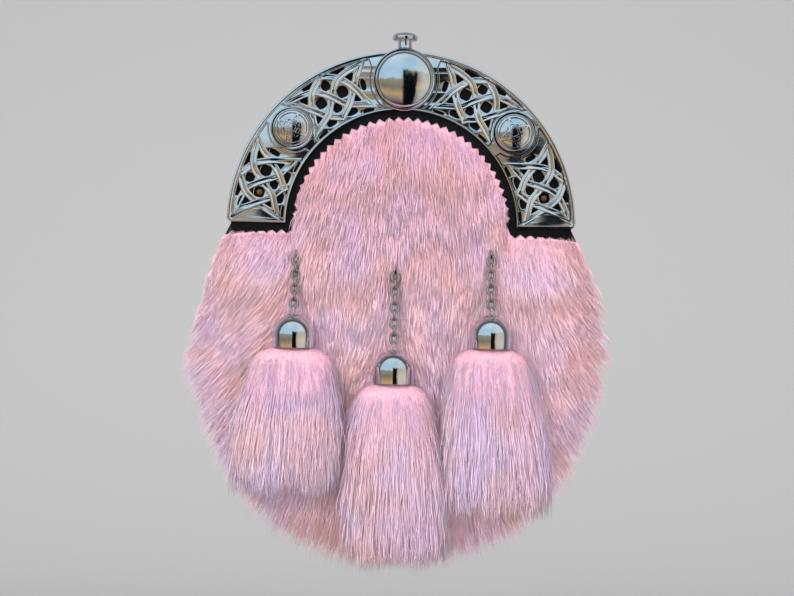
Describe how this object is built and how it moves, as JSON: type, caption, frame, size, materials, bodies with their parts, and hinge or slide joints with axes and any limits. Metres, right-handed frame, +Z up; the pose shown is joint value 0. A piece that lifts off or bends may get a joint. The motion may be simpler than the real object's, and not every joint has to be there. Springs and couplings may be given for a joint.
{
  "type": "sporran pouch",
  "caption": "Fur-fronted leather belt pouch with a pierced half-ring metal cantle, domed bosses and fur tassels on chains.",
  "frame": {"origin": "middle of the line of the belt strap, midway between the two strap loops on the back", "axes": "+Z up, -Y to the front (the fur side), +X to the right as seen from the front"},
  "size_m": [0.1912, 0.0608, 0.2366],
  "materials": {
    "chrome": "mirror polished plate, darkened in the recesses",
    "brass": "dull",
    "black_leather": "fine grain, satin",
    "fur": "dyed fur, soft sheen",
    "tassel_fur": "dyed fur, soft sheen"
  },
  "bodies": {
    "root": {"back_panel": "black_leather", "side_gusset": "black_leather", "front_panel": "black_leather", "fur_front": "fur", "leather_facing": "black_leather", "cantle": "chrome", "boss_centre": "chrome", "boss_left": "chrome", "boss_right": "chrome", "cantle_knob": "chrome", "fixing_rivet_left": "brass", "fixing_rivet_right": "brass", "staple_left": "chrome", "chain_left_link_1": "chrome", "chain_left_link_2": "chrome", "chain_left_link_3": "chrome", "chain_left_link_4": "chrome", "chain_left_link_5": "chrome", "chain_left_link_6": "chrome", "chain_left_link_7": "chrome", "bell_left": "chrome", "tassel_left": "tassel_fur", "staple_centre": "chrome", "chain_centre_link_1": "chrome", "chain_centre_link_2": "chrome", "chain_centre_link_3": "chrome", "chain_centre_link_4": "chrome", "chain_centre_link_5": "chrome", "chain_centre_link_6": "chrome", "chain_centre_link_7": "chrome", "chain_centre_link_8": "chrome", "chain_centre_link_9": "chrome", "bell_centre": "chrome", "tassel_centre": "tassel_fur", "staple_right": "chrome", "chain_right_link_1": "chrome", "chain_right_link_2": "chrome", "chain_right_link_3": "chrome", "chain_right_link_4": "chrome", "chain_right_link_5": "chrome", "chain_right_link_6": "chrome", "chain_right_link_7": "chrome", "bell_right": "chrome", "tassel_right": "tassel_fur", "strap_loop_left": "black_leather", "strap_loop_right": "black_leather"}
  },
  "joints": []
}
